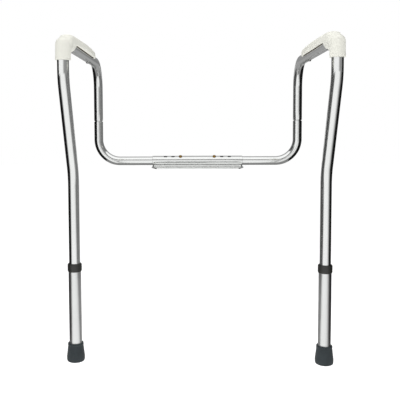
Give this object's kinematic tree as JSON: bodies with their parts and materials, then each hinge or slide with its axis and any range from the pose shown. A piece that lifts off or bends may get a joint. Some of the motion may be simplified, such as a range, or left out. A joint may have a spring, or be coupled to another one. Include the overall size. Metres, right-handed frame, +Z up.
{
  "type": "toilet safety frame",
  "caption": "Aluminium tube frame round a toilet: two side frames with moulded plastic armrests, telescoping front legs and a rear bracket bolted under the seat.",
  "frame": {"origin": "underside of the mounting plate, midway between the two seat bolt slots; the floor is 377 mm below it", "axes": "+Z up, +Y to the rear, +X to the right of a person who looks at the frame from the front"},
  "size_m": [0.55, 0.4474, 0.658],
  "materials": {
    "tube_aluminium": "bright brushed, clear anodised",
    "leg_aluminium": "satin anodised",
    "bracket_aluminium": "bright brushed, clear anodised",
    "armrest_plastic": "off-white moulded plastic, fine grain",
    "collar_plastic": "charcoal moulded plastic",
    "tip_rubber": "dark slate rubber",
    "button_brass": "plain",
    "fastener_steel": "zinc plated"
  },
  "bodies": {
    "bracket": {"bracket_sleeve": "bracket_aluminium", "mounting_plate": "bracket_aluminium", "plate_weld_front": "bracket_aluminium", "plate_weld_rear": "bracket_aluminium"},
    "left_side": {"left_side_tube": "tube_aluminium", "left_rear_tube": "tube_aluminium", "left_rear_coupler": "tube_aluminium", "left_joint_rivet_lower": "fastener_steel", "left_joint_rivet_upper": "fastener_steel", "left_armrest": "armrest_plastic", "left_armrest_screw_front": "fastener_steel", "left_armrest_screw_rear": "fastener_steel", "left_height_spring": "fastener_steel", "left_width_spring": "fastener_steel"},
    "left_leg": {"left_lower_leg": "leg_aluminium", "left_leg_collar": "collar_plastic", "left_foot_tip": "tip_rubber", "left_foot_washer": "fastener_steel"},
    "left_height_button": {"left_height_button": "button_brass"},
    "left_width_button": {"left_width_button": "button_brass"},
    "right_side": {"right_side_tube": "tube_aluminium", "right_rear_tube": "tube_aluminium", "right_rear_coupler": "tube_aluminium", "right_joint_rivet_lower": "fastener_steel", "right_joint_rivet_upper": "fastener_steel", "right_armrest": "armrest_plastic", "right_armrest_screw_front": "fastener_steel", "right_armrest_screw_rear": "fastener_steel", "right_height_spring": "fastener_steel", "right_width_spring": "fastener_steel"},
    "right_leg": {"right_lower_leg": "leg_aluminium", "right_leg_collar": "collar_plastic", "right_foot_tip": "tip_rubber", "right_foot_washer": "fastener_steel"},
    "right_height_button": {"right_height_button": "button_brass"},
    "right_width_button": {"right_width_button": "button_brass"}
  },
  "joints": [
    {"name": "left_width", "type": "slide", "parent": "bracket", "child": "left_side", "axis": [-1, 0, 0], "range_m": [0, 0.0381], "deforming": ["left_width_button", "left_width_spring"]},
    {"name": "left_height", "type": "slide", "parent": "left_side", "child": "left_leg", "axis": [0, 0, -1], "range_m": [0, 0.1143]},
    {"name": "left_height_press", "type": "slide", "parent": "left_side", "child": "left_height_button", "axis": [0, -1, 0], "range_m": [0, 0.0048], "stiffness_N_per_m": 1000, "springref_m": -0.005, "deforming": ["left_height_spring"]},
    {"name": "left_width_press", "type": "slide", "parent": "left_side", "child": "left_width_button", "axis": [0, 0.5, -0.866], "range_m": [0, 0.0048], "stiffness_N_per_m": 1000, "springref_m": -0.005, "deforming": ["left_width_spring"]},
    {"name": "right_width", "type": "slide", "parent": "bracket", "child": "right_side", "axis": [1, 0, 0], "range_m": [0, 0.0381], "deforming": ["right_width_button", "right_width_spring"]},
    {"name": "right_height", "type": "slide", "parent": "right_side", "child": "right_leg", "axis": [0, 0, -1], "range_m": [0, 0.1143]},
    {"name": "right_height_press", "type": "slide", "parent": "right_side", "child": "right_height_button", "axis": [0, -1, 0], "range_m": [0, 0.0048], "stiffness_N_per_m": 1000, "springref_m": -0.005, "deforming": ["right_height_spring"]},
    {"name": "right_width_press", "type": "slide", "parent": "right_side", "child": "right_width_button", "axis": [0, 0.5, -0.866], "range_m": [0, 0.0048], "stiffness_N_per_m": 1000, "springref_m": -0.005, "deforming": ["right_width_spring"]}
  ]
}
